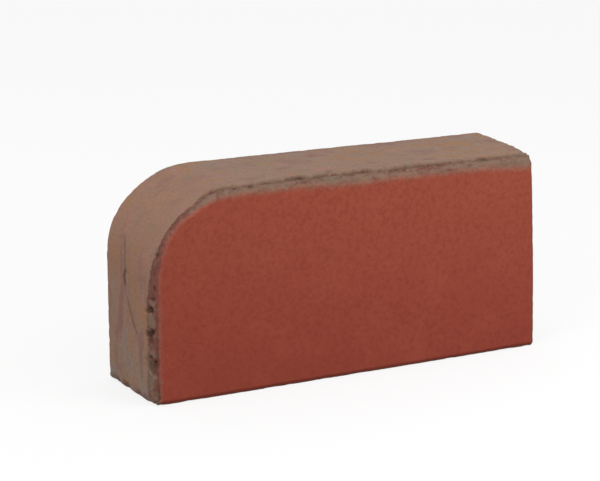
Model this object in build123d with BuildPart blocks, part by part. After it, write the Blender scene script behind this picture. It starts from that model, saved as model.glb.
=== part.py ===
from build123d import *

import os

# Radius stove brick: one solid block of fired clay with one corner of its bed rounded.
# It stands on its long narrow edge, as in the photo: X runs along the length, with the
# rounded corner at the -X end, Y through the thickness, and Z up the width of the bed.
# The origin is the centre of the face that it stands on. All sizes are in millimetres.

# Block, in the standard single format
length = 250.0
height = 120.0
thickness = 65.0

# Rounded corner, which turns from the header end into the upper stretcher face
corner_radius = 50.0

# Small rounding of the three other corners of the outline, left by the die
arris_radius = 2.5

# Worn and torn bevel round the front bed: it starts this far behind the bed, and takes
# a wide margin of the bed along the round end and the top, and a narrow one elsewhere
bevel_depth = 1.5
torn_margin = 4.0
worn_margin = 2.5

# Softened edge round the back bed
back_rounding = 2.0

# Torn ledge, where a strip of the skin broke away behind the bevel: its floor lies this
# far below the round end and the top, and changes evenly round the corner
end_ledge_depth = 0.8
top_ledge_depth = 2.0

# Width of the torn strip, measured back from the bed: even up the round end as far as
# the tear height, narrowest at the middle of the rounded corner, even again on the top,
# then running out towards the square end
end_tear = 10.0
corner_tear = 2.5
top_tear = 6.5
square_end_tear = 2.0
tear_height = 60.0

# Where the top's strip has opened to its full width, and where it starts and ends its
# last narrowing, all measured along the length from the middle of the rounded corner
tear_opens = 20.0
tear_narrows = 100.0
tear_runs_out = 160.0

# How far the shapes that cut the ledge reach past the block
clearance = 1.0

front_bed = Plane.XZ.offset(thickness / 2)
bevel_root = front_bed.offset(-bevel_depth)

# Middle of the rounded corner, where the two stretches of the ledge meet
corner_centre_x = corner_radius - length / 2
corner_centre_z = height - corner_radius
meeting_x = corner_centre_x - corner_radius * 0.5**0.5
meeting_z = corner_centre_z + corner_radius * 0.5**0.5


def outline_corners(end, top, worn):
    """Corners of the bed's outline, drawn in at its round end, its top and its worn sides."""
    round_end = -length / 2 + end
    square_end = length / 2 - worn
    return [
        (round_end, worn),
        (square_end, worn),
        (square_end, height - top),
        (round_end, height - top),
    ]


def torn_field(*skin_end):
    """Field from in front of the bed back to where the skin ends, from places and widths."""
    ahead = -thickness / 2 - clearance
    tear = [(along, width - thickness / 2) for along, width in skin_end]
    return [(tear[0][0], ahead), *tear, (tear[-1][0], ahead)]


with BuildPart() as radius_brick:
    # Body: the full outline, from the root of the bevel to the back bed
    with BuildSketch(bevel_root):
        with BuildLine():
            FilletPolyline(
                *outline_corners(0, 0, 0),
                radius=[arris_radius, arris_radius, arris_radius, corner_radius],
                close=True,
            )
        make_face()
    extrude(amount=bevel_depth - thickness)

    # Soft edge round the back bed, before the bevel adds more faces
    back_bed = radius_brick.faces().sort_by(Axis.Y)[-1]
    fillet(back_bed.edges(), radius=back_rounding)

    # Bevel: from the full outline out to the smaller field of the front bed
    for plane, torn, worn in (
        (bevel_root, 0, 0),
        (front_bed, torn_margin, worn_margin),
    ):
        with BuildSketch(plane):
            with BuildLine():
                FilletPolyline(
                    *outline_corners(torn, torn, worn),
                    radius=[arris_radius, arris_radius, arris_radius, corner_radius - torn],
                    close=True,
                )
            make_face()
    loft(ruled=True)

# Torn stretches: the round end up to the middle of the corner, seen along the length,
# and the rest of the corner with the top, seen from above
with BuildPart() as torn_stretches:
    with BuildSketch(Plane.YZ.offset(corner_centre_x)):
        with BuildLine():
            end_field = torn_field(
                (-clearance, end_tear),
                (tear_height, end_tear),
                (meeting_z, corner_tear),
            )
            Polyline(*[(y, z) for z, y in end_field], close=True)
        make_face()
    extrude(amount=-corner_radius - clearance)

    with BuildSketch(Plane.XY.offset(corner_centre_z)):
        with BuildLine():
            top_field = torn_field(
                (meeting_x, corner_tear),
                (meeting_x + tear_opens, top_tear),
                (meeting_x + tear_narrows, top_tear),
                (meeting_x + tear_runs_out, square_end_tear),
                (length / 2 + clearance, square_end_tear),
            )
            Polyline(*top_field, close=True)
        make_face()
    extrude(amount=corner_radius + clearance)

# Torn skin: what lies outside the ledge's floor, within those stretches
with BuildPart() as torn_skin:
    with BuildSketch(front_bed.offset(clearance)):
        with Locations((0, height / 2)):
            Rectangle(length + 2 * clearance, height + 2 * clearance)
        with BuildLine():
            FilletPolyline(
                *outline_corners(end_ledge_depth, top_ledge_depth, -2 * clearance),
                radius=[arris_radius, arris_radius, arris_radius, corner_radius - top_ledge_depth],
                close=True,
            )
        make_face(mode=Mode.SUBTRACT)
    extrude(amount=-thickness)
    add(torn_stretches.part, mode=Mode.INTERSECT)

with radius_brick:
    add(torn_skin.part, mode=Mode.SUBTRACT)

radius_brick.part.label = "radius_brick"
os.makedirs("parts", exist_ok=True)
export_step(radius_brick.part, "parts/radius_brick.step")
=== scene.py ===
"""Dresses the radius stove brick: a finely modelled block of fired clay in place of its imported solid."""

import itertools
import logging
import math
from dataclasses import dataclass
from enum import Enum, IntEnum
from functools import partial
from typing import NamedTuple

import bpy
import numpy as np
from bpy.types import ID, Material, Mesh, NodeSocket, NodeTree, Object
from mathutils import Matrix, Quaternion, Vector
from mathutils.geometry import delaunay_2d_cdt


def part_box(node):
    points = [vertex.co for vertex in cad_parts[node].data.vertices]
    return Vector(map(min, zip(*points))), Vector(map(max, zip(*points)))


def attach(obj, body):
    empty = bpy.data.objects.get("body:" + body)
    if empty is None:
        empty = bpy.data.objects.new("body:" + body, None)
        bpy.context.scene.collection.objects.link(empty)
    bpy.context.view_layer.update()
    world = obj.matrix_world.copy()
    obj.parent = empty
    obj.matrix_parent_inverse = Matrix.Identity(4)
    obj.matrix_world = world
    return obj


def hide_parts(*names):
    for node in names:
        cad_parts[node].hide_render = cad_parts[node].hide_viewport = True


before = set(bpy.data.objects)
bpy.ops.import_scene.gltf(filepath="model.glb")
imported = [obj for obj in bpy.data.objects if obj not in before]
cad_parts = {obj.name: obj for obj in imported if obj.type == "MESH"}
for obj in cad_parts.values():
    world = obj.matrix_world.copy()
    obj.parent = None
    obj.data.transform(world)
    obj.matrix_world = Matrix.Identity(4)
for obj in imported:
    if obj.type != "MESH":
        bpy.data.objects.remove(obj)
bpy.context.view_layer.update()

LOG = logging.getLogger("radius_brick")
NODE = "radius_brick"
PIECE = "fired_brick"
BODY = "root"

# The meshes are worked out in millimetres and written in metres
MM = 0.001

Array = np.ndarray
Range = tuple[float, float]
Course = tuple[Range, ...]

# Place along the outline that the middle of a bed is given: out of reach of every mark
FAR_OFF = -1000.0

# Triangulation of a bed: triangles inside its border only, merging points nearer than this
INSIDE, MERGE_WITHIN = 1, 1e-7


class Trace(Enum):
    """What each vertex tells the material, by the name of the array that holds it."""

    BED = "bed"
    TORN = "torn"
    # Painted shade in the pits, crack, nicks, band and under the wall, with the soil and the darkening
    # along edges
    PAINTED_SHADE_AND_SOIL = "hollow"
    DUST = "dust"
    ASH = "ash"
    TINT = "tint"


class Shader(Enum):
    """The shader nodes in use: type, inputs in the order that they are given in, output and settings.

    An input or output goes by its number where others share its name.
    """

    PLACE = ("TexCoord", (), "Object", {})
    HEIGHT = ("SeparateXYZ", ("Vector",), "Z", {})
    TOLD = ("Attribute", (), "Fac", {"attribute_type": "GEOMETRY"})
    NOISE = ("TexNoise", ("Vector", "Scale", "Detail", "Roughness"), "Fac", {})
    SUM = ("Math", (0, 1), "Value", {"operation": "ADD"})
    DIFFERENCE = ("Math", (0, 1), "Value", {"operation": "SUBTRACT"})
    PRODUCT = ("Math", (0, 1), "Value", {"operation": "MULTIPLY"})
    GREATER = ("Math", (0, 1), "Value", {"operation": "MAXIMUM"})
    RISE = (
        "MapRange",
        ("Value", "From Min", "From Max", "To Max"),
        "Result",
        {"interpolation_type": "SMOOTHSTEP"},
    )
    SPREAD = ("MapRange", ("Value", "To Min", "To Max"), "Result", {})
    BLEND = ("Mix", (0, 6, 7), 2, {"data_type": "RGBA"})
    BLEND_HEIGHT = ("Mix", (0, 2, 3), 0, {})
    BUMP = ("Bump", ("Height", "Distance"), "Normal", {})
    CLAY = (
        "BsdfPrincipled",
        ("Base Color", "Roughness", "IOR", "Specular IOR Level", "Normal"),
        "BSDF",
        {},
    )
    MATT = ("BsdfDiffuse", ("Color",), "BSDF", {})
    GLOW = ("Emission", ("Color", "Strength"), "Emission", {})
    SKY = ("Background", ("Color", "Strength"), "Background", {})
    COVER = ("MixShader", (0, 1, 2), "Shader", {})
    SEEN_STRAIGHT = ("LightPath", (), "Is Camera Ray", {})
    SEEN_IN_GLOSS = ("LightPath", (), "Is Glossy Ray", {})
    SEEN_THROUGH = ("LightPath", (), "Is Transmission Ray", {})
    MATERIAL = ("OutputMaterial", ("Surface",), None, {})
    WORLD = ("OutputWorld", ("Surface",), None, {})


class Corner(IntEnum):
    """The outline's corners, clockwise."""

    FOOT = 0
    ROUNDED = 1
    SQUARE_TOP = 2
    SQUARE_FOOT = 3


# For each corner, its side, whether it is at the top, and the way towards it as X and Z: along the
# base to the foot of the round end, up that end, along the top and down again
SIDES = ((-1, False), (-1, True), (1, True), (1, False))
TRAVEL = np.array([[-1.0, 0.0], [0.0, 1.0], [1.0, 0.0], [0.0, -1.0]])


def linear(colour: str) -> tuple[float, float, float, float]:
    """Turns an sRGB colour into the linear one that a shader takes.

    Args:
        colour: six hex digits after a hash sign.

    Returns:
        Linear red, green and blue, with an alpha of 1.
    """
    knee, toe, lift, gamma = 0.04045, 12.92, 0.055, 2.4
    parts = [int(colour[i : i + 2], 16) / 255 for i in (1, 3, 5)]
    flat = [c / toe if c <= knee else ((c + lift) / (1.0 + lift)) ** gamma for c in parts]
    return (*flat, 1.0)


def add(tree: NodeTree, shader: Shader, *inputs: object, **settings: object) -> NodeSocket | None:
    """Adds a node with its settings and links.

    Args:
        tree: the node tree that it joins.
        shader: which node it is.
        inputs: for each input in turn, a value, a colour in hex or the output that feeds it.
        settings: the node's own properties.

    Returns:
        Its output, if it has one.
    """
    kind, sockets, output, standing = shader.value
    node = tree.nodes.new("ShaderNode" + kind)
    for name, value in (standing | settings).items():
        setattr(node, name, value)
    for socket, value in zip(sockets, inputs):
        if isinstance(value, NodeSocket):
            tree.links.new(value, node.inputs[socket])
        else:
            node.inputs[socket].default_value = linear(value) if isinstance(value, str) else value
    return node.outputs[output] if output is not None else None


def emptied(holder: ID) -> NodeTree:
    """Turns on the nodes of a material or a world, and clears them."""
    holder.use_nodes = True
    holder.node_tree.nodes.clear()
    return holder.node_tree


def placed(name: str, data: ID) -> Object:
    """Puts a mesh, lamp or camera into the scene, as an object."""
    made = bpy.data.objects.new(name, data)
    bpy.context.scene.collection.objects.link(made)
    return made


def ramp(values: Array, low: float | Array, high: float | Array) -> Array:
    """Rises smoothly from 0 where the values are low to 1 where they are high."""
    share = np.clip((values - low) / (high - low), 0.0, 1.0)
    return share * share * (3.0 - 2.0 * share)


def hump(values: Array, middle: float, width: float) -> Array:
    """Rises to 1 at the middle, and has fallen to about a third one width away."""
    return np.exp(-(((values - middle) / width) ** 2))


def follow(course: Course, along: Array | float) -> Array:
    """Reads a value that changes along the outline, given as places with the value at each."""
    return np.interp(along, *zip(*course))


def lattice_values(cells: Array, seed: int) -> Array:
    """Gives each cell of a lattice a fixed value that looks random.

    Args:
        cells: one row of three whole numbers for each cell.
        seed: picks one of many patterns.

    Returns:
        One value from -1 to 1 for each row.
    """
    primes = np.array([374761393, 668265263, 2246822519], dtype=np.uint32)
    stirrer = np.uint32(3266489917)
    with np.errstate(over="ignore"):
        mixed = (cells.astype(np.uint32) * primes).sum(axis=1, dtype=np.uint32)
        mixed += np.uint32(seed) * stirrer
        for shift, factor in ((15, primes[2]), (13, stirrer), (16, 1)):
            mixed = (mixed ^ (mixed >> np.uint32(shift))) * np.uint32(factor)
    return mixed / 2.0**31 - 1.0


@dataclass(frozen=True)
class Bumps:
    """One layer of soft noise: the size of its bumps in millimetres, its seed and its strength."""

    size: float
    seed: int
    strength: float = 1.0


def noise(points: Array, *layers: Bumps) -> Array:
    """Adds up layers of smooth bumps over points in space.

    Args:
        points: one row of three coordinates for each point, in millimetres.
        layers: the layers of bumps.

    Returns:
        One value for each point: for one layer, from its strength below zero to as much above.
    """
    total = np.zeros(len(points))
    for layer in layers:
        scaled = points / layer.size
        low = np.floor(scaled)
        share = ramp(scaled - low, 0.0, 1.0)
        cells = low.astype(np.int64)
        for corner in itertools.product((0, 1), repeat=3):
            weight = np.where(corner, share, 1.0 - share).prod(axis=1)
            total += layer.strength * weight * lattice_values(cells + corner, layer.seed)
    return total


@dataclass(frozen=True)
class Outline:
    """The bed's edge seen from the front, in millimetres: a rectangle with one large rounded corner.

    Places along it are measured clockwise from the foot of its round end.
    """

    length: float
    height: float
    corner_radius: float = 50.0
    arris_radius: float = 2.5
    least_radius: float = 1.0

    @property
    def radii(self) -> tuple[float, ...]:
        """Radius at each corner."""
        return (self.arris_radius, self.corner_radius, self.arris_radius, self.arris_radius)

    def places(self, corner: Corner, run: float, turn: float, inset: Array) -> Array:
        """Points at one station of the outline, for a list of margins.

        Args:
            corner: the corner that the station lies before or in.
            run: share of the straight stretch before the corner that is gone.
            turn: angle gone round the corner, in radians.
            inset: how far each point lies inside the outline.

        Returns:
            One row of X and Z for each margin.
        """
        ends = []
        for number, onwards in ((corner - 1, 1), (corner, -1)):
            side, top = SIDES[number]
            x, z = side * (self.length / 2 - inset), self.height - inset if top else inset
            radius = np.maximum(self.radii[number] - inset, self.least_radius)[:, None]
            ends.append(np.stack([x, z], axis=1) + onwards * TRAVEL[corner] * radius)
        out = TRAVEL[(corner + 1) % len(Corner)]
        bend = out * (1.0 - math.cos(turn)) + TRAVEL[corner] * math.sin(turn)
        return ends[0] * (1.0 - run) + ends[1] * run + radius * bend

    def inset_of(self, flat: Array) -> Array:
        """Measures how far points lie inside the outline.

        Args:
            flat: one row of X and Z for each point.

        Returns:
            One distance for each point, below zero outside.
        """
        (x, z), half, radius = flat.T, self.length / 2, self.corner_radius
        straight = np.minimum.reduce([x + half, half - x, z, self.height - z])
        left, up = radius - half - x, z - (self.height - radius)
        return np.where((left > 0) & (up > 0), radius - np.hypot(left, up), straight)


class Station(NamedTuple):
    """One column of vertices: what Outline.places takes to find it."""

    corner: Corner
    run: float
    turn: float


class Row(NamedTuple):
    """One line of vertices round the brick, inset by a distance and a share of the bevel's margin."""

    inset: float
    margin_share: float
    behind: float


@dataclass
class Skin:
    """The brick's surface. All arrays have one entry for each vertex.

    across is the distance inside the outline on the front bed, and minus the distance behind that
    bed on the narrow faces. depth is that of the relief, in millimetres, and the arrays of the
    traces are told to the material.
    """

    points: Array
    along: Array
    across: Array
    arris: Array
    faces: list[tuple[int, ...]]

    def __post_init__(self) -> None:
        """Starts without relief, and with nothing told."""
        self.normals = np.zeros_like(self.points)
        self.depth, *told = np.zeros((1 + len(Trace), len(self.points)))
        self.bed, self.torn, self.hollow, self.dust, self.ash, self.tint = told

    def darken(self, where: Array, values: Array) -> None:
        """Makes vertices as dark as the values, where they aren't darker already: painted shade, or soil.
        """
        self.hollow[where] = np.maximum(self.hollow[where], values)

    def dye(self, where: Array, tint: float | Array, share: Array) -> None:
        """Moves the vertices' tint towards another by a share."""
        self.tint[where] += (tint - self.tint[where]) * share


@dataclass(frozen=True)
class BrickBody:
    """The undamaged block, as a mesh between its two beds. Sizes in millimetres.

    The gaps between its vertices are smallest where the clay is torn or cracked. Those along the
    outline are given for the straight stretch before each corner, and for the corner's arc. Each
    band gives how far behind the front bed it ends and the gap between its rows.
    """

    outline: Outline
    thickness: float
    torn_margin: float = 4.0
    worn_margin: float = 2.5
    margin_opens: Range = (-2.0, 2.0)
    margin_closes: Range = (-3.0, 1.0)
    bevel_depth: float = 1.5
    back_rounding: float = 2.0
    straight_gaps: tuple[float, ...] = (1.9, 0.58, 0.62, 1.2)
    arc_gaps: tuple[float, ...] = (0.6, 0.58, 0.6, 0.6)
    torn_gap: float = 0.6
    bands: Course = ((15.0, 0.6), (20.0, 1.6), (46.0, 0.75))
    plain_gap: float = 1.6
    back_gap: float = 2.0
    back_turn: float = math.pi / 10
    bed_gaps: Range = (1.4, 2.8)
    ring_gap_share: float = 0.6
    fine_inside: float = 9.0
    back_ring: float = 6.0
    arris_reach: float = 2.0

    def stations(self) -> list[Station]:
        """Lists the stations clockwise from the middle of the base.

        Returns:
            The stations.
        """
        sides, radii = (self.outline.length, self.outline.height) * 2, self.outline.radii
        found: list[Station] = []
        for corner in Corner:
            straight = sides[corner] - radii[corner] - radii[corner - 1]
            count = round(straight / self.straight_gaps[corner])
            turns = round(radii[corner] * math.pi / 2 / self.arc_gaps[corner])
            found += [Station(corner, i / count, 0.0) for i in range(count)]
            found += [Station(corner, 1.0, math.pi / 2 * i / turns) for i in range(turns)]
        middle = sum(s.corner is Corner.FOOT and s.run < 1.0 for s in found) // 2
        return found[middle:] + found[:middle]

    def rows(self) -> list[Row]:
        """Lists the rows from the front bed, over the bevel and back to the other bed.

        Returns:
            The rows.
        """

        def spread(start: float, stop: float, gap: float) -> Array:
            """Evenly spaced values from start to just before stop, about a gap apart."""
            return np.linspace(start, stop, round(abs(stop - start) / gap), endpoint=False)

        bed_gap = self.torn_gap / (self.fine_inside - self.torn_margin)
        bevel_gap = self.torn_gap / self.torn_margin
        rows = [Row(self.fine_inside * g, 1.0 - g, 0.0) for g in spread(1, 0, bed_gap)]
        rows += [Row(0.0, 1.0 - f, self.bevel_depth * f) for f in spread(0, 1, bevel_gap)]
        start = self.bevel_depth
        for stop, gap in (*self.bands, (self.thickness - self.back_rounding, self.plain_gap)):
            rows += [Row(0.0, 0.0, b) for b in spread(start, stop, gap)]
            start = stop
        for angle in spread(0, math.pi / 2, self.back_turn):
            inset = self.back_rounding * (1.0 - math.cos(angle))
            rows.append(Row(inset, 0.0, start + self.back_rounding * math.sin(angle)))
        insets = spread(self.back_rounding, self.back_ring, self.back_gap)
        return rows + [Row(i, 0.0, self.thickness) for i in (*insets, self.back_ring)]

    def build(self) -> Skin:
        """Builds the ring of rows and the two beds inside it.

        Returns:
            The bare surface, closed and facing outwards.
        """
        stations, rows, outline = self.stations(), self.rows(), self.outline
        count = len(stations)
        edge = np.concatenate([outline.places(*s, np.zeros(1)) for s in stations])
        steps = np.hypot(*(np.roll(edge, -1, axis=0) - edge).T)
        travelled = np.concatenate([[0.0], np.cumsum(steps)[:-1]])
        foot = next(i for i, s in enumerate(stations) if s.corner is Corner.FOOT and s.turn > math.pi / 4)
        along = travelled - travelled[foot]

        # The bevel is wide at the torn round end, corner and top, and narrow elsewhere
        top_end = outline.length + outline.height - outline.corner_radius * (2.0 - math.pi / 2)
        torn = ramp(along, *self.margin_opens) * (1.0 - ramp(along - top_end, *self.margin_closes))
        margin = self.worn_margin + (self.torn_margin - self.worn_margin) * torn
        insets = np.array([r.inset + r.margin_share * margin for r in rows])
        behind = np.array([r.behind for r in rows])
        ring = np.zeros((len(rows), count, 3))
        ring[:, :, 1] = behind[:, None] - self.thickness / 2
        for i, station in enumerate(stations):
            ring[:, i, ::2] = outline.places(*station, insets[:, i])
        faces = [
            (near + s, near + t, near + count + t, near + count + s)
            for near in range(0, (len(rows) - 1) * count, count)
            for s, t in enumerate((*range(1, count), 0))
        ]

        points, across = ring.reshape(-1, 3), (insets - behind[:, None]).reshape(-1)
        for first, gap in zip((0, len(points) - count), self.bed_gaps):
            border = points[first : first + count]
            added, triangles = self.fill(border[:, ::2], gap)
            number = (*range(first, first + count), *range(len(points), len(points) + len(added)))
            outwards = slice(None, None, -1 if first else 1)
            faces += [tuple(number[v] for v in triangle[outwards]) for triangle in triangles]
            inset = outline.inset_of(added)
            inset = np.minimum(inset, self.back_ring) - self.thickness if first else inset
            across = np.concatenate([across, inset])
            points = np.concatenate([points, np.insert(added, 1, border[0, 1], axis=1)])

        on_arris = [a for a, s in zip(along, stations) if s.corner is not Corner.ROUNDED and s.turn > 0.0]
        nearest = np.abs(along[:, None] - np.array(on_arris)).min(axis=1)
        arris = np.tile(hump(nearest, 0.0, self.arris_reach), len(rows))
        inner = (0, len(points) - len(arris))
        along = np.pad(np.tile(along, len(rows)), inner, constant_values=FAR_OFF)
        return Skin(points, along, across, np.pad(arris, inner), faces)

    def fill(self, ring: Array, gap: float) -> tuple[Array, list[list[int]]]:
        """Closes one bed inside its ring of vertices.

        Args:
            ring: one row of X and Z for each vertex of the ring.
            gap: distance between the new vertices.

        Returns:
            X and Z of each new vertex, and the triangles, which count the ring first.
        """
        half, row_gap = self.outline.length / 2, gap * math.sqrt(3) / 2
        x, z = np.meshgrid(np.arange(-half, half, gap), np.arange(0.0, self.outline.height, row_gap))
        x[::2] += gap / 2
        added = np.stack([x.reshape(-1), z.reshape(-1)], axis=1)
        clear = self.outline.inset_of(ring).max() + gap * self.ring_gap_share
        added = added[self.outline.inset_of(added) > clear]
        flat = [Vector(p) for p in (*ring, *added)]
        edges = [(i, (i + 1) % len(ring)) for i in range(len(ring))]
        _, _, triangles, sources, _, _ = delaunay_2d_cdt(flat, edges, [], INSIDE, MERGE_WITHIN, True)
        return added, [[sources[v][0] for v in triangle] for triangle in triangles]


@dataclass(frozen=True)
class KilnWarp:
    """How far this brick is out of true, in millimetres: soft clay sags and twists as it dries and burns.

    The press and the bulge on the rounded corner are an angle above its round end, and a width.
    """

    outline: Outline
    thickness: float
    front_sag: float = 2.0
    square_lean: float = 4.2
    lean_power: float = 1.5
    foot_taper: float = 1.5
    top_twist: float = 1.5
    front_press: float = 2.6
    back_press: float = 0.3
    press: Range = (62.0, 16.0)
    back_bulge: float = 0.8
    bulge: Range = (27.0, 16.0)

    def bend(self, points: Array) -> Array:
        """Moves points of the true block to where they are on this brick.

        Args:
            points: one row of X, Y and Z for each point.

        Returns:
            The moved points.
        """
        u = points[:, 0] / self.outline.length + 0.5
        front = 0.5 - points[:, 1] / self.thickness
        w = points[:, 2] / self.outline.height
        moved = points.copy()
        moved[:, 2] -= self.front_sag * front**2 * w
        moved[:, 0] -= self.square_lean * u * front * w**self.lean_power
        moved[:, 1] += self.foot_taper * (1.0 - u) * (1.0 - w) * (2.0 * front - 1.0)
        moved[:, 1] += self.top_twist * u * front * w

        # The rounded corner was pressed flatter near its top and pushed out below that
        corner_radius = self.outline.corner_radius
        left = corner_radius - self.outline.length / 2 - points[:, 0]
        up = points[:, 2] - (self.outline.height - corner_radius)
        radius = np.maximum(np.hypot(left, up), MM)
        angle = np.degrees(np.arctan2(up, left))
        inward = self.back_press + (self.front_press - self.back_press) * front
        inward *= hump(angle, *self.press)
        inward -= self.back_bulge * (1.0 - front) * hump(angle, *self.bulge)
        inward *= np.where((left > 0) & (up > 0), radius / corner_radius, 0.0)
        return moved + np.stack([left, np.zeros_like(left), -up], axis=1) * (inward / radius)[:, None]


@dataclass(frozen=True)
class Spot:
    """An oval mark on the surface, in millimetres. behind is below zero on the bed.

    amount is a depth for a pit, and for a stain a tint from -1, mauve, to 1, ochre or olive. The
    mark is gone at its rim, a share of its size, which noise pushes in and out.
    """

    along: float
    behind: float
    half_along: float
    half_across: float
    amount: float
    turn: float = 0.0
    rim: float = 1.25
    reach: float = 1.7
    least_bump: float = 1.2
    bump_share: float = 0.5
    seed: int = 31

    def cover(self, skin: Skin, near: Array, raggedness: float, core: float) -> tuple[Array, Array]:
        """Finds how much of the spot lies on each vertex.

        Args:
            skin: the brick's surface.
            near: numbers of the vertices to look at.
            raggedness: how far noise pushes the rim, as a share of the spot's size.
            core: share of its size out to which the spot is at full strength.

        Returns:
            The numbers of the vertices within reach, and a share for each.
        """
        reach = self.reach * max(self.half_along, self.half_across)
        close = near[np.abs(skin.along[near] - self.along) < reach]
        a, b = skin.along[close] - self.along, -skin.across[close] - self.behind
        c, s = math.cos(self.turn), math.sin(self.turn)
        away = np.hypot((a * c + b * s) / self.half_along, (b * c - a * s) / self.half_across)
        size = max(self.least_bump, self.bump_share * min(self.half_along, self.half_across))
        away += noise(skin.points[close], Bumps(size, self.seed, raggedness))
        return close, 1.0 - ramp(away, core, self.rim)


def spots(*rows: tuple[float, ...]) -> tuple[Spot, ...]:
    """Makes a spot from each row: its place, half sizes and amount, and perhaps its turn."""
    return tuple(Spot(*row) for row in rows)


@dataclass(frozen=True)
class TornArris:
    """The ragged band where the skin tore away round the front bed. Sizes in millimetres.

    Its courses give, along the outline: how far behind the bed the skin ends, how far inside the
    outline the red begins and over what width, how deep the step is, the band's tint and shade,
    how wide the wall behind it is, how dark it is and how far its shadow reaches, and how dark the
    band's rim and its pits are.
    """

    tear_line: Course = (
        (-6, 1), (1, 9.5), (10, 10.5), (57, 10.5), (64, 8), (72, 6), (80, 5), (86, 3.4), (94, 2.6),
        (106, 2.6), (112, 3.4), (119, 5.2), (131, 8), (137, 8.6), (142, 5.5), (150, 3), (157, 3.4),
        (165, 6.6), (172, 5.4), (181, 7.5), (192, 7.2), (203, 6.4), (212, 9), (223, 6), (240, 6),
        (250, 5), (263, 6.6), (272, 5), (300, 4.8), (320, 5), (340, 5.4), (351, 4), (354, 0.6),
    )
    red_edge: Course = (
        (-6, -0.6), (1, 4.4), (8, 3.6), (15, 3.3), (27, 3.2), (83, 3.2), (92, 2.6), (115, 2.2), (125, 2),
        (129, 2.4), (134, 4), (139, 5.2), (150, 5.2), (175, 5), (197, 5.2), (212, 6.2), (240, 6.3),
        (250, 6.2), (305, 6.4), (325, 7.2), (347, 8.3), (350, 8.3), (352, -0.6),
    )
    red_fade: Course = (
        (-6, 0.8), (1, 2.2), (10, 3.9), (88, 3.9), (112, 3.4), (128, 2.8), (136, 3.2), (150, 4),
        (300, 4.2), (349, 4.6), (354, 1),
    )
    step: Course = (
        (-6, 0.2), (1, 0.7), (60, 0.8), (88, 0.9), (110, 0.8), (120, 1.1), (131, 1.6), (160, 2),
        (240, 2.1), (300, 1.8), (330, 1.6), (349, 1.3), (354, 0.1),
    )
    own_tint: Course = (
        (0, 0.1), (8, -0.3), (60, -0.65), (85, -0.8), (110, -0.5), (126, -0.3), (150, -0.1), (350, 0),
    )
    shade: Course = ((0, 0.18), (45, 0.14), (60, 0.05), (85, 0.08), (120, 0.1), (130, 0.04), (150, 0.2))
    wall_width: Course = ((0, 0.7), (90, 0.8), (130, 1.4), (150, 2), (350, 2.2))
    wall_shade: Course = (
        (-6, 0), (1, 0.15), (60, 0.1), (72, 0.2), (110, 0.24), (150, 0.26), (180, 0.22), (192, 0.38),
        (205, 0.38), (215, 0.24), (232, 0.34), (248, 0.26), (262, 0.36), (290, 0.36), (300, 0.26),
        (315, 0.36), (330, 0.28), (354, 0),
    )
    wall_reach: Course = ((0, 1.4), (80, 2), (110, 2.6), (125, 3.4), (350, 4.2))
    rim_shade: Course = ((2, 0.25), (26, 0.3), (36, 0.15), (44, 0.2), (60, 0.15), (82, 0.2), (88, 0))
    pit_shade: Course = ((88, 0.9), (96, 0.5), (150, 0.3), (335, 0.3), (342, 0.8))

    main_pits: tuple[Spot, ...] = spots(
        (38.7, 10, 1.9, 2.6, 2, 0.4), (40.6, 5, 2.3, 5.4, 2.4, 0.42), (36.4, 6, 2.8, 5.2, 1.5, 0.4),
        (52.2, 9.4, 1.7, 2.6, 1.8, 0.3), (53.6, 5.5, 1.9, 4.8, 2.4, 0.28), (60, 3.2, 1, 4, 1.6, 0.18),
        (66, 0.4, 1.8, 1.8, 0.9), (76.5, 1.6, 3.4, 2.4, 1.1, -0.3), (85, 1.8, 1.8, 2.6, 1.2, 0.15),
        (21.6, 6, 5, 6.6, 1.6, 0.12), (21, 0, 5.4, 3.4, 1), (23.6, 0.6, 1.8, 2, 1.5),
        (25.6, 6.6, 1.4, 4, 1.3, 0.2), (31, 8, 2.6, 3, 0.5, 0.3), (12.5, 5, 4.6, 4.8, 0.6, 0.2),
        (7, 4, 1, 4.6, 0.8, 0.3), (98.5, -2.6, 1.2, 0.9, 0.6), (137, 7, 3.6, 2.2, 0.7),
        (163, 5, 3, 2.8, 0.8, 0.2), (177.5, 1.6, 2.2, 2.4, 0.5), (181.5, 6, 2, 3.6, 0.8, -0.3),
        (196.5, 5, 3.4, 3.4, 1.8, -0.2), (211.5, 9, 1.6, 3.4, 1.3, -0.3), (217.5, 6.6, 1.6, 4, 0.8, -0.3),
        (234.5, 4, 2, 3, 0.7, -0.3), (246, 2, 1.8, 3, 1), (263, 4, 3.4, 2.8, 0.7, -0.2),
        (299, 1.4, 2.4, 1.8, 0.7), (316, 2.2, 2, 2.2, 0.7), (329, 2.4, 2.2, 1.8, 0.8),
        (337, 3, 1.8, 1.6, 0.8), (343.5, 4.6, 3, 2.6, 1), (333, 7.6, 1.4, 1.8, 0.5),
        (345.5, 8.6, 1.8, 2.4, 0.9), (346, 15, 4, 12, 0.5),
    )
    stains: tuple[Spot, ...] = spots(
        (70, 1, 9, 4, -1), (47, 5, 4.6, 6.4, 0.55), (57.5, 5, 1.6, 6, -0.2), (22, 2, 5, 7, -1),
        (20, 8, 5, 3, 0.2), (11, 7, 5, 4, 0.7), (9, 0, 6, 2.5, -0.6), (132, 1, 5, 4, 0.3),
        (163, 4, 6, 4, -0.4), (196, -2, 10, 2, -0.4), (212, -1, 7, 3, 1), (255, 0, 8, 4, -0.4),
        (278, 0, 14, 4, -0.6), (198, 0, 8, 4, -0.3), (310, 0, 6, 3, 0.8), (330, 0, 5, 2, -0.4),
        (340, 2, 5, 3, 0.7),
    )

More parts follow.
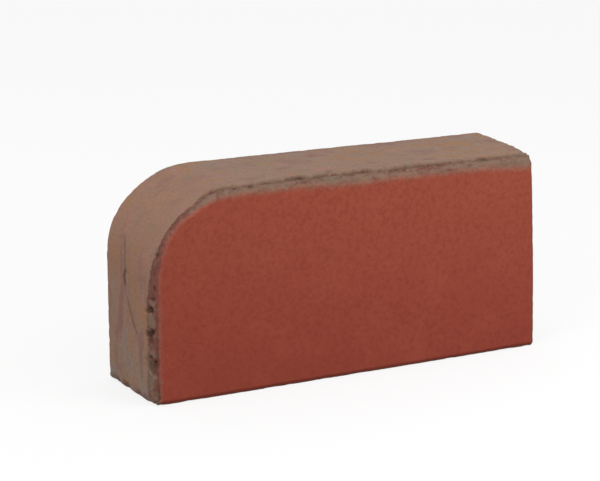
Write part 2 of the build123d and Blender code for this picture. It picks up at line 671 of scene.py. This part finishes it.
    # Small pits strewn over the band: the seed and the ranges that their numbers are drawn from.
    # They lie between the tear line and a share of the red edge's inset, and the depth of each
    # is a share of the step there or of the deepest, whichever is less
    small_count: int = 60
    small_seed: int = 11
    small_along: Range = (0.0, 340.0)
    small_red_share: float = 0.4
    small_size: Range = (0.7, 1.6)
    small_stretch: Range = (0.8, 2.0)
    small_deepest: float = 1.1
    small_depth_share: Range = (0.3, 0.9)
    small_turn: Range = (-0.5, 0.5)

    # Raggedness and core of the edges of the pits and the stains
    pit_edge: Range = (0.25, 0.45)
    stain_edge: Range = (0.35, 0.45)

    # How far inside the outline and behind the bed the band's marks can reach
    inside: float = 13.0
    deepest_behind: float = 19.0

    # The tear line strays more past the middle of the rounded corner than before it
    tear_bumps: tuple[Bumps, ...] = (Bumps(6.0, 21, 0.7), Bumps(2.6, 22, 0.5), Bumps(1.1, 23, 0.3))
    wander: Course = ((120, 0.8), (120.01, 1.6))
    red_bumps: tuple[Bumps, ...] = (Bumps(3.0, 24, 0.6), Bumps(1.2, 25, 0.3))
    level_from: float = 345.0
    red_limit: float = 9.0

    # Lumps of the torn clay, as shares of the step, and the step that makes it wholly torn
    lumps: tuple[Bumps, ...] = (Bumps(3.2, 26, 0.27), Bumps(1.4, 27, 0.18))
    least_band: float = 0.5
    whole_step: float = 0.4

    # Shadow under the wall: the fringe behind it, and where it fades as shares of its reach
    wall_fringe: float = 1.2
    wall_fades: Range = (0.5, 1.5)
    reach_bumps: Bumps = Bumps(5.0, 29, 0.4)
    wall_bumps: Bumps = Bumps(7.0, 30, 0.5)
    shade_bumps: Bumps = Bumps(4.0, 32, 0.8)

    # Dark mauve rim along the red edge: its inset and its width
    rim: Range = (1.4, 1.3)
    rim_bumps: Bumps = Bumps(3.0, 33, 0.6)
    rim_tint: float = -2.4
    tint_bumps: Bumps = Bumps(5.0, 28, 0.5)

    # A pit is painted black with shade when it is this deep, and its painted shade reaches nearer to its
    # edge than its depth
    black_depth: float = 2.4
    pit_spread: float = 1.4
    stained_from: Range = (0.2, 0.8)

    def small_pits(self) -> list[Spot]:
        """Draws the small pits from their seed.

        Returns:
            The pits.
        """
        draw = np.random.default_rng(self.small_seed).uniform
        pits = []
        for _ in range(self.small_count):
            along = draw(*self.small_along)
            red_end = -self.small_red_share * follow(self.red_edge, along)
            behind = draw(red_end, follow(self.tear_line, along))
            size = draw(*self.small_size)
            length = size * draw(*self.small_stretch)
            depth = min(follow(self.step, along), self.small_deepest) * draw(*self.small_depth_share)
            pits.append(Spot(along, behind, length, size, depth, draw(*self.small_turn)))
        return pits

    def carve(self, skin: Skin) -> None:
        """Cuts the band, the step behind it and its pits into the skin.

        Args:
            skin: the brick's surface.
        """
        near = np.flatnonzero((skin.across > -self.deepest_behind) & (skin.across < self.inside))
        p, along, behind = skin.points[near], skin.along[near], -skin.across[near]
        tear = follow(self.tear_line, along) + follow(self.wander, along) * noise(p, *self.tear_bumps)
        stray = noise(p, *self.red_bumps)
        red, fade = follow(self.red_edge, along) + stray, follow(self.red_fade, along)
        step = follow(self.step, along)
        half_wall = follow(self.wall_width, along) / 2
        torn = ramp(behind, tear + half_wall, tear - half_wall)

        # At the top the red's edge runs level out to the square end
        reddened = ramp(-behind, red - fade, red + fade)
        under_top = skin.points[:, 2].max() - p[:, 2]
        edge = follow(self.red_edge, self.level_from) + stray
        fade = follow(self.red_fade, self.level_from)
        level = np.where(along > self.level_from, ramp(under_top, edge - fade, edge + fade), 1.0)
        reddened = np.minimum(reddened, level)

        broken = torn * (1.0 - reddened)
        forward = np.clip((tear - behind) / np.maximum(tear + red, self.least_band), 0.0, 1.0)
        skin.depth[near] += step * (torn * (1.0 - forward**2) + broken * noise(p, *self.lumps))
        skin.torn[near] = broken * ramp(step, 0.0, self.whole_step)
        skin.bed[near] = np.where(behind < self.red_limit, reddened, 0.0)

        reach = follow(self.wall_reach, along) * (1.0 + noise(p, self.reach_bumps))
        fade_start, fade_end = (share * reach for share in self.wall_fades)
        wall = ramp(behind, tear + half_wall + self.wall_fringe, tear - half_wall)
        wall *= 1.0 - ramp(tear - behind, fade_start, fade_end)
        rim = hump(behind + red, *self.rim) * follow(self.rim_shade, along)
        shade = follow(self.wall_shade, along) * wall * (1.0 + noise(p, self.wall_bumps))
        shade += follow(self.shade, along) * broken * (1.0 + noise(p, self.shade_bumps))
        skin.darken(near, shade + rim * (1.0 + noise(p, self.rim_bumps)))
        tint = follow(self.own_tint, along) + noise(p, self.tint_bumps) + self.rim_tint * rim
        skin.dye(near, tint, torn)

        for pit in (*self.main_pits, *self.small_pits()):
            close, share = pit.cover(skin, near, *self.pit_edge)
            skin.depth[close] += pit.amount * share
            # Painted shade in each pit, the darker the deeper it is
            most = min(1.0, pit.amount / self.black_depth) * follow(self.pit_shade, pit.along)
            skin.darken(close, most * np.minimum(self.pit_spread * share, 1.0))
        for stain in self.stains:
            close, share = stain.cover(skin, near, *self.stain_edge)
            skin.dye(close, stain.amount, share * ramp(skin.torn[close], *self.stained_from))


@dataclass(frozen=True)
class SkinStains:
    """Tints of the burnt skin: its streaks and blotches, its dust and ash, and the nicks at its foot."""

    dust: Course = ((-60, 0.8), (0, 1), (30, 0.75), (60, 0.25), (110, 0.1), (140, 0.55), (165, 1))
    mottle: Course = ((-5, 0.6), (20, 0.75), (60, 0.85), (95, 0.45), (150, 0.65), (350, 0.9))
    soil: Course = ((-5, 0.28), (60, 0.26), (95, 0.06), (150, 0.13), (350, 0.2))
    marks: tuple[Spot, ...] = spots(
        (76, 44.5, 16, 3.4, -0.75, 0.15), (55, 43.5, 14, 3.4, -0.83, -0.05), (35, 45, 12, 4.4, -0.68),
        (74, 50.5, 11, 4.6, 0.94, 0.1), (50, 30.5, 10, 2.4, 0.94, -0.2), (66, 33.5, 9, 1.8, 0.77, -0.1),
        (36, 30, 8, 2.6, 0.68, -0.15), (28, 31.5, 9, 2.6, 0.85), (34, 16, 11, 4.4, -0.68, -0.1),
        (50, 20, 9, 4, 0.51), (12, 47, 7, 7, -0.6), (44, 54, 8, 3, -0.45), (82, 25, 6, 4, 0.77),
        (73, 23, 1.6, 2.6, 0.94), (72, 16.5, 1.6, 3.2, 0.85), (95, 44, 8, 4, 0.54), (104, 58, 5, 3.6, 0.72),
        (125, 45, 9, 7, -0.54, 0.3), (128, 28, 8, 5, -0.3, 0.3), (187, 20, 10, 7, 0.48),
        (187, 56, 10, 4, -0.48), (206, 37, 10, 9, -0.54), (174, 26, 10, 4, 0.3), (207, 13, 6, 3, 0.54),
        (234, 14, 7, 4, -0.3), (248, 48, 9, 8, 0.6), (252, 13, 3, 6, -0.42), (272, 32, 8, 8, 0.48),
        (292, 28, 14, 8, -0.54), (306, 8, 7, 6, -0.36), (321, 38, 12, 9, 0.66), (332, 16, 6, 10, 0.54),
        (342, 11, 4, 5, -0.48), (340, 30, 5, 8, -0.42),
    )
    ash: tuple[Spot, ...] = spots(
        (16, 33, 7, 6, 0.9), (25, 41, 11, 5, 0.7), (3, 56, 9, 8, 0.8), (3, 14, 6, 14, 0.8), (2, 4, 6, 8, 1),
        (12, 24, 8, 8, 0.5), (55, 56, 14, 4, 0.5), (158, 52, 12, 10, 0.5), (214, 56, 8, 5, 0.6),
        (180, 2, 6, 6, 0.5), (255, 1, 7, 5, 0.7), (330, 52, 12, 6, 0.6), (342, 4, 8, 4, 0.5),
    )
    nicks: tuple[Spot, ...] = spots(
        (1, 51, 1.6, 3, 0.6), (1.2, 37, 2, 3.4, 0.7), (0.6, 23, 1.6, 3, 0.6), (2, 44, 1.4, 2, 0.5),
        (0, 3, 2.2, 6, 0.8),
    )

    # Raggedness and core of the edges of the marks, the ash and the nicks
    mark_edge: Range = (0.7, 0.0)
    ash_edge: Range = (0.6, 0.0)
    nick_edge: Range = (0.3, 0.45)
    nick_shade: float = 0.5

    # The blotches are drawn out along X and Z by these shares of their size
    drawn_out: tuple[float, float, float] = (0.6, 1.0, 0.45)
    blotches: tuple[Bumps, ...] = (Bumps(7.0, 62), Bumps(2.6, 63, 0.5))
    soil_bumps: tuple[Bumps, ...] = (Bumps(7.0, 64), Bumps(2.8, 65, 0.6))
    soiled_from: Range = (-0.2, 1.0)

    # Darker along the foot of the round end and along the back edge: its place and its width
    foot: Range = (1.5, 3.2)
    foot_darkening: float = 0.36
    back_edge: Range = (63.5, 1.6)
    back_edge_darkening: float = 0.12
    darkening_bumps: Bumps = Bumps(5.0, 61)

    def carve(self, skin: Skin) -> None:
        """Tints the skin, and nicks its foot.

        Args:
            skin: the brick's surface.
        """
        every = np.arange(len(skin.points))
        along, behind = skin.along, -skin.across
        narrow = behind > 0.0
        drawn = skin.points * np.array(self.drawn_out)
        skin.dust = follow(self.dust, along)
        skin.tint = follow(self.mottle, along) * noise(drawn, *self.blotches)
        # Darker along the foot of the round end and along the back edge
        foot = self.foot_darkening * hump(along, *self.foot) * narrow
        edge = self.back_edge_darkening * hump(behind, *self.back_edge)
        skin.hollow = np.maximum(foot, edge) * (1.0 + noise(skin.points, self.darkening_bumps))
        soiled = ramp(noise(drawn, *self.soil_bumps), *self.soiled_from)
        skin.darken(every, follow(self.soil, along) * soiled * narrow)
        skin.hollow *= 1.0 - skin.bed
        for mark in self.marks:
            close, share = mark.cover(skin, every, *self.mark_edge)
            skin.dye(close, mark.amount, share)
        for patch in self.ash:
            close, share = patch.cover(skin, every, *self.ash_edge)
            skin.ash[close] = np.maximum(skin.ash[close], patch.amount * share)
        for nick in self.nicks:
            close, share = nick.cover(skin, every, *self.nick_edge)
            skin.depth[close] += nick.amount * share
            skin.darken(close, self.nick_shade * share)


@dataclass(frozen=True)
class HairlineCrack:
    """The fine drying crack on the round end, in millimetres.

    Its course runs through places along the outline and behind the bed. Its gape changes with the
    place along the outline.
    """

    course: Course = (
        (88, 43.2), (76, 39.2), (69, 38), (64.5, 39.9), (60, 38.7), (52, 35.2), (46, 32), (38.5, 27),
        (35.5, 24),
    )
    gape: Course = (
        (31, 0), (36, 0.8), (44, 0.9), (50, 0.8), (54, 0.4), (58, 0.4), (61, 1.4), (67, 1.4),
        (70, 0.7), (76, 0.7), (82, 0.8), (86, 0.4), (92, 0),
    )
    half_width: float = 1.6
    depth: float = 0.45
    shade: float = 0.62
    along_limits: Range = (30.0, 92.0)
    behind_limits: Range = (20.0, 48.0)
    wander: tuple[Bumps, ...] = (Bumps(3.0, 41, 0.5), Bumps(1.1, 42, 0.25))

    def carve(self, skin: Skin) -> None:
        """Opens the crack.

        Args:
            skin: the brick's surface.
        """
        (first, last), (front, back) = self.along_limits, self.behind_limits
        near = (skin.along > first) & (skin.along < last) & (skin.across < -front) & (skin.across > -back)
        a, b = skin.along[near], noise(skin.points[near], *self.wander) - skin.across[near]
        away = np.full(len(a), np.inf)
        for (a0, b0), (a1, b1) in itertools.pairwise(self.course):
            da, db = a1 - a0, b1 - b0
            run = np.clip(((a - a0) * da + (b - b0) * db) / (da**2 + db**2), 0.0, 1.0)
            away = np.minimum(away, np.hypot(a - a0 - run * da, b - b0 - run * db))
        line = hump(away, 0.0, self.half_width) * follow(self.gape, a)
        skin.depth[near] += self.depth * line
        skin.darken(near, self.shade * np.minimum(line, 1.0))


@dataclass(frozen=True)
class ClaySurface:
    """Gentle waves and grain of the moulded faces, and the wear of their edges, in millimetres."""

    edge_wear: Course = (
        (-4, 0.35), (0, 0.45), (140, 0.45), (150, 0.6), (345, 0.6), (353, 0.2), (466, 0.2), (474, 0.35),
    )
    skin_waves: float = 0.11
    bed_waves: float = 0.06
    skin_grain: float = 0.035
    dent_depth: float = 0.15
    wave_bumps: Bumps = Bumps(28.0, 51)
    grain_bumps: Bumps = Bumps(1.6, 52)
    dent_bumps: Bumps = Bumps(4.0, 53)
    dented_from: Range = (0.45, 0.9)
    chip_bumps: tuple[Bumps, ...] = (Bumps(6.0, 54), Bumps(2.5, 55, 0.5))
    chipped_from: Range = (-0.1, 1.0)

    def carve(self, skin: Skin) -> None:
        """Adds waves, grain and worn edges.

        Args:
            skin: the brick's surface.
        """
        p = skin.points
        waves = 1.0 + noise(p, self.wave_bumps)
        grain = 1.0 + noise(p, self.grain_bumps)
        dents = ramp(noise(p, self.dent_bumps), *self.dented_from)
        narrow = self.skin_waves * waves + self.skin_grain * grain + self.dent_depth * dents
        skin.depth += (1.0 - skin.bed) * narrow + skin.bed * self.bed_waves * waves

        # An edge is where the surface turns from a bed, facing along Y, to a narrow face
        turned = np.abs(skin.normals[:, 1])
        edge = np.clip(4.0 * turned * (1.0 - turned), 0.0, 1.0)
        edge = np.maximum(edge, skin.arris * (1.0 - turned))
        chips = ramp(noise(p, *self.chip_bumps), *self.chipped_from)
        skin.depth += follow(self.edge_wear, skin.along) * edge * chips


@dataclass(frozen=True)
class Grain:
    """One noise of a material: its size in millimetres, and how much finer noise it has, and how strong."""

    size: float
    detail: float = 2.0
    roughness: float = 0.55

    @property
    def numbers(self) -> tuple[float, float, float]:
        """What a noise node takes in a place given in metres: scale, detail and roughness."""
        return (1.0 / (self.size * MM), self.detail, self.roughness)


@dataclass(frozen=True)
class Blotches:
    """Patches of one colour: from where a grain's noise starts to show them to where they show most."""

    colour: str
    grain: Grain
    shown: Range
    most: float


@dataclass(frozen=True)
class CutBed:
    """Red body clay, burnt right through, where the column was cut and the face rubbed smooth.

    It shows the eye an even brick red, broken only by the sand and grog in the clay: a fine
    speckle of darker grains, and faint clouds where the clay was mixed unevenly. Its foot is
    painted a little darker than its top, as painted shade standing in for the light falling off
    towards the floor, and this painted shade starts below the base.
    """

    # Painted shade: the foot's colour is darker and the top's lighter, for light falling off towards the
    # floor
    foot: str = "#964132"
    top: str = "#A34F3B"
    foot_below: float = 0.2
    grain: Grain = Grain(2.2, 2.0, 0.6)
    blotches: tuple[Blotches, ...] = (
        Blotches("#A6523E", Grain(30.0, 3.0), (0.45, 0.75), 0.5),
        Blotches("#87372A", Grain(4.0), (0.45, 0.75), 0.25),
        Blotches("#87372A", Grain(2.2, 2.0, 0.6), (0.4, 0.75), 0.5),
    )
    relief: float = 0.05


@dataclass(frozen=True)
class BurntSkin:
    """Grey-brown skin of the narrow faces, where salts and fine clay came up as the brick dried.

    It shows the eye a dull film over the red: fawn, and greyer where dust lies on it, with olive,
    pink and ochre blotches where it is thick or thin, and mauve and ochre stains.
    """

    fawn: str = "#9A7260"
    dusty: str = "#917766"
    mauve: str = "#87615B"
    ochre: str = "#9B7050"
    ash: str = "#8B7D77"
    grain: Grain = Grain(1.4, 2.0, 0.6)
    blotches: tuple[Blotches, ...] = (
        Blotches("#88765F", Grain(9.0), (0.5, 0.72), 0.7),
        Blotches("#A1776B", Grain(12.6), (0.52, 0.75), 0.8),
        Blotches("#9B7050", Grain(5.4), (0.55, 0.78), 0.5),
    )
    speckle: Blotches = Blotches("#836757", Grain(1.4, 2.0, 0.6), (0.42, 0.72), 0.7)
    relief: float = 0.06


@dataclass(frozen=True)
class TornClay:
    """Broken clay of the band where the skin tore away: rough, dusty and half shaded.

    It shows the eye crumbs of fawn, mauve and olive side by side, and near-black in the pits, partly its
    own dark colour and partly painted shade.
    """

    fawn: str = "#836757"
    mauve: str = "#784A41"
    olive: str = "#806B5A"
    # Near-black that the painted shade and the soil darken towards
    pit: str = "#432A1B"
    crumb: Grain = Grain(2.6, 3.0, 0.65)
    crumb_contrast: float = 2.5
    dustiness: float = 0.3
    full_tint: float = 0.9
    grain: Grain = Grain(0.9, 3.0, 0.7)
    relief: float = 0.15


@dataclass(frozen=True)
class FiredClay:
    """Common fired brick clay in its three states, laid over each other as the mesh says.

    Its open pores swallow most of the gloss that clay of its refractive index would have.
    """

    bed: CutBed = CutBed()
    skin: BurntSkin = BurntSkin()
    torn: TornClay = TornClay()
    fray: float = 0.5
    torn_shown: Range = (0.2, 0.8)
    roughness: Range = (0.86, 0.95)
    ior: float = 1.5
    gloss: float = 0.25

    def make(self, brick_height: float) -> Material:
        """Builds the material.

        Args:
            brick_height: the brick's height in millimetres.

        Returns:
            The finished material.
        """
        material = bpy.data.materials.new("fired_clay")
        node = partial(add, emptied(material))
        place = node(Shader.PLACE)
        told = {trace: node(Shader.TOLD, attribute_name=trace.value) for trace in Trace}

        def blotched(colour: NodeSocket, *layers: Blotches) -> NodeSocket:
            """Lays blotches over a colour.

            Args:
                colour: the colour below them.
                layers: the blotches, lowest first.

            Returns:
                The mixed colour.
            """
            for layer in layers:
                grain = node(Shader.NOISE, place, *layer.grain.numbers)
                share = node(Shader.RISE, grain, *layer.shown, layer.most)
                colour = node(Shader.BLEND, share, colour, layer.colour)
            return colour

        bed, skin, torn = self.bed, self.skin, self.torn
        grains = (bed.grain, skin.grain, torn.grain, torn.crumb)
        bed_grain, skin_grain, torn_grain, crumb_grain = (
            node(Shader.NOISE, place, *grain.numbers) for grain in grains
        )

        # Red bed: painted shade, darker at its foot, with faint clouds, soft mottling and a speckle of grog
        top = brick_height * MM
        painted_light_share = node(Shader.RISE, node(Shader.HEIGHT, place), -bed.foot_below * top, top)
        red = blotched(node(Shader.BLEND, painted_light_share, bed.foot, bed.top), *bed.blotches)

        # Skin: dusty over fawn, with blotches of thinner and thicker film, and its stains
        tint, dust = told[Trace.TINT], told[Trace.DUST]
        brown = blotched(node(Shader.BLEND, dust, skin.fawn, skin.dusty), *skin.blotches)
        brown = node(Shader.BLEND, node(Shader.RISE, tint), brown, skin.ochre)
        share = node(Shader.RISE, node(Shader.PRODUCT, tint, -1.0))
        brown = node(Shader.BLEND, share, brown, skin.mauve)
        brown = blotched(node(Shader.BLEND, told[Trace.ASH], brown, skin.ash), skin.speckle)

        # Torn clay: crumbs whose tint strays about that of their place
        crumbs = node(Shader.PRODUCT, node(Shader.DIFFERENCE, crumb_grain, 0.5), torn.crumb_contrast)
        tint = node(Shader.SUM, tint, crumbs)
        broken = node(Shader.BLEND, node(Shader.PRODUCT, dust, torn.dustiness), torn.fawn, skin.dusty)
        share = node(Shader.RISE, tint, 0.0, torn.full_tint)
        broken = node(Shader.BLEND, share, broken, torn.olive)
        share = node(Shader.RISE, node(Shader.PRODUCT, tint, -1.0), 0.0, torn.full_tint)
        broken = node(Shader.BLEND, share, broken, torn.mauve)

        # Each state lies where the mesh says, with an edge frayed by the fine grain
        frayed = node(Shader.PRODUCT, node(Shader.DIFFERENCE, skin_grain, 0.5), self.fray)
        torn_share = node(Shader.RISE, node(Shader.SUM, told[Trace.TORN], frayed), *self.torn_shown)
        bed_share = node(Shader.RISE, node(Shader.SUM, told[Trace.BED], frayed))
        colour = node(Shader.BLEND, torn_share, brown, broken)
        colour = node(Shader.BLEND, bed_share, colour, red)
        # Painted shade in the pits, crack, nicks, band and under the wall, and the soil, darken towards the
        # pit colour
        colour = node(Shader.BLEND, node(Shader.RISE, told[Trace.PAINTED_SHADE_AND_SOIL]), colour, torn.pit)

        height = node(Shader.PRODUCT, skin_grain, skin.relief * MM)
        for share, grain, state in ((bed_share, bed_grain, bed), (torn_share, torn_grain, torn)):
            above = node(Shader.PRODUCT, grain, state.relief * MM)
            height = node(Shader.BLEND_HEIGHT, share, height, above)
        rough = node(Shader.SPREAD, skin_grain, *self.roughness)
        normal = node(Shader.BUMP, height, 1.0)
        node(Shader.MATERIAL, node(Shader.CLAY, colour, rough, self.ior, self.gloss, normal))
        return material


@dataclass(frozen=True)
class RadiusBrick:
    """The brick: its body, its damage and its clay. Sizes in millimetres."""

    outline: Outline
    thickness: float
    arris: TornArris = TornArris()
    crack: HairlineCrack = HairlineCrack()
    surface: ClaySurface = ClaySurface()
    stains: SkinStains = SkinStains()
    clay: FiredClay = FiredClay()
    front_red: Range = (8.0, 9.0)
    back_red: Range = (2.5, 3.2)
    touching: float = 0.01
    soft_rounds: int = 20

    def build(self) -> Object:
        """Models, dresses and places the brick.

        Returns:
            The finished piece.
        """
        skin = BrickBody(self.outline, self.thickness).build()
        bent = KilnWarp(self.outline, self.thickness).bend(skin.points)
        mesh = bpy.data.meshes.new(PIECE)
        mesh.from_pydata(bent * MM, [], skin.faces)
        mesh.vertex_normals.foreach_get("vector", skin.normals.reshape(-1))

        on_back = skin.points[:, 1] > self.thickness / 2 - self.touching
        red_back = ramp(skin.across + self.thickness, *self.back_red) * on_back
        skin.bed = np.maximum(ramp(skin.across, *self.front_red), red_back)
        for layer in (self.stains, self.arris, self.crack, self.surface):
            layer.carve(skin)
        sunk = bent - self.soften(mesh, skin.normals) * np.maximum(skin.depth, 0.0)[:, None]
        sunk[:, 2] = np.maximum(sunk[:, 2], 0.0)
        mesh.vertices.foreach_set("co", (sunk * MM).reshape(-1))
        for trace in Trace:
            told = mesh.attributes.new(trace.value, "FLOAT", "POINT").data
            told.foreach_set("value", getattr(skin, trace.value).astype(np.float32))
        mesh.polygons.foreach_set("use_smooth", np.ones(len(mesh.polygons), dtype=bool))
        mesh.update()
        mesh.validate()
        mesh.materials.append(self.clay.make(self.outline.height))

        brick = placed(PIECE, mesh)
        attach(brick, BODY)
        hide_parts(NODE)
        return brick

    def soften(self, mesh: Mesh, normals: Array) -> Array:
        """Turns normals gradually over edges, so that deep relief doesn't fold the mesh.

        Args:
            mesh: the bare mesh.
            normals: its vertices' normals.

        Returns:
            The softened directions.
        """
        ends = np.zeros(len(mesh.edges) * 2, dtype=np.int32)
        mesh.edges.foreach_get("vertices", ends)
        first, second = ends.reshape(-1, 2).T
        for _ in range(self.soft_rounds):
            total = normals.copy()
            np.add.at(total, first, normals[second])
            np.add.at(total, second, normals[first])
            normals = total / np.linalg.norm(total, axis=1)[:, None]
        return normals


@dataclass(frozen=True)
class Lamp:
    """One soft square lamp: its power in watts, its size and its place in metres."""

    name: str
    power: float
    size: float
    at: tuple[float, float, float]

    def hang(self, aim: Vector) -> None:
        """Hangs the lamp, facing a point.

        Args:
            aim: the point.
        """
        light = bpy.data.lights.new(self.name, "AREA")
        light.energy, light.size = self.power, self.size
        hung = placed(self.name, light)
        hung.location = self.at
        hung.rotation_mode = "QUATERNION"
        hung.rotation_quaternion = (aim - Vector(self.at)).to_track_quat("-Z", "Y")


@dataclass(frozen=True)
class Studio:
    """Pale floor, soft light and the camera at the photograph's angle, in metres and degrees."""

    floor_size: float = 12.0
    white: str = "#FFFFFF"
    bounce_colour: str = "#707070"
    floor_lift: float = 0.78
    sky: float = 0.7
    lamps: tuple[Lamp, ...] = (
        Lamp("key_lamp", 1.4, 0.4, (0.30, -0.45, 0.40)),
        Lamp("fill_lamp", 12.5, 1.0, (-1.5, -0.8, 0.8)),
    )
    lens: float = 117.8
    azimuth: float = -29.756
    elevation: float = 14.164
    roll: float = 0.147
    distance: float = 1.1349
    aim_right: float = -0.01404
    aim_up: float = 0.01047

    def build(self, middle: Vector) -> None:
        """Sets up everything round the object.

        Args:
            middle: the centre of the object's box.
        """
        self.make_floor()
        self.make_sky()
        for lamp in self.lamps:
            lamp.hang(middle)
        self.make_camera(middle)
        bpy.context.scene.view_settings.view_transform = "Standard"

    def split(self, tree: NodeTree, end: Shader, lighting: NodeSocket, seen: NodeSocket) -> None:
        """Ends a node tree that looks one way in the picture and lights the scene in another.

        Args:
            tree: the node tree.
            end: its last node.
            lighting: what rays that light things meet.
            seen: what rays that end in the picture meet, straight, off gloss or through glass.
        """
        share = add(tree, Shader.SEEN_STRAIGHT)
        for way in (Shader.SEEN_IN_GLOSS, Shader.SEEN_THROUGH):
            share = add(tree, Shader.GREATER, share, add(tree, way))
        add(tree, end, add(tree, Shader.COVER, share, lighting, seen))

    def make_floor(self) -> None:
        """Lays a floor that looks near white and keeps the shadow, but throws little light back."""
        half = self.floor_size / 2
        mesh = bpy.data.meshes.new("studio_floor")
        corners = [(x * half, y * half, 0.0) for x, y in ((-1, -1), (1, -1), (1, 1), (-1, 1))]
        mesh.from_pydata(corners, [], [range(4)])
        material = bpy.data.materials.new("pale_floor")
        tree = emptied(material)
        shaded = add(tree, Shader.MATT, self.white)
        bright = add(tree, Shader.GLOW, self.white, 1.0)
        seen = add(tree, Shader.COVER, self.floor_lift, shaded, bright)
        self.split(tree, Shader.MATERIAL, add(tree, Shader.MATT, self.bounce_colour), seen)
        mesh.materials.append(material)
        floor = placed("studio_floor", mesh)

    def make_sky(self) -> None:
        """Surrounds the scene with even light, white where it is seen."""
        bpy.context.scene.world = bpy.data.worlds.new("soft_room")
        tree = emptied(bpy.context.scene.world)
        lighting, seen = (add(tree, Shader.SKY, self.white, strength) for strength in (self.sky, 1.0))
        self.split(tree, Shader.WORLD, lighting, seen)

    def make_camera(self, middle: Vector) -> None:
        """Places the camera where the photograph was taken from.

        Args:
            middle: the point that its place is measured from.
        """
        turn, rise, tilt = (math.radians(a) for a in (self.azimuth, self.elevation, self.roll))
        level = math.cos(rise)
        back = Vector((math.sin(turn) * level, -math.cos(turn) * level, math.sin(rise)))
        right = Vector((0.0, 0.0, 1.0)).cross(back).normalized()
        ahead = self.aim_right * right + self.aim_up * back.cross(right) - back
        turned = ahead.to_track_quat("-Z", "Y") @ Quaternion((0.0, 0.0, 1.0), tilt)
        data = bpy.data.cameras.new("photo_camera")
        data.lens = self.lens
        camera = placed("photo_camera", data)
        camera.matrix_world = Matrix.LocRotScale(middle + back * self.distance, turned, None)
        bpy.context.scene.camera = camera


def main() -> None:
    """Builds the brick and its studio."""
    logging.basicConfig(level=logging.INFO, format="%(name)s: %(message)s")
    low, high = (Vector(corner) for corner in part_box(NODE))
    length, thickness, height = (high - low) / MM
    brick = RadiusBrick(Outline(length, height), thickness).build()
    triangles = sum(len(p.vertices) - 2 for p in brick.data.polygons)
    LOG.info("%s: %d vertices, %d triangles", brick.name, len(brick.data.vertices), triangles)
    Studio().build((low + high) / 2)
    LOG.info("studio: floor, sky, two lamps and camera")


if __name__ == "__main__":
    main()
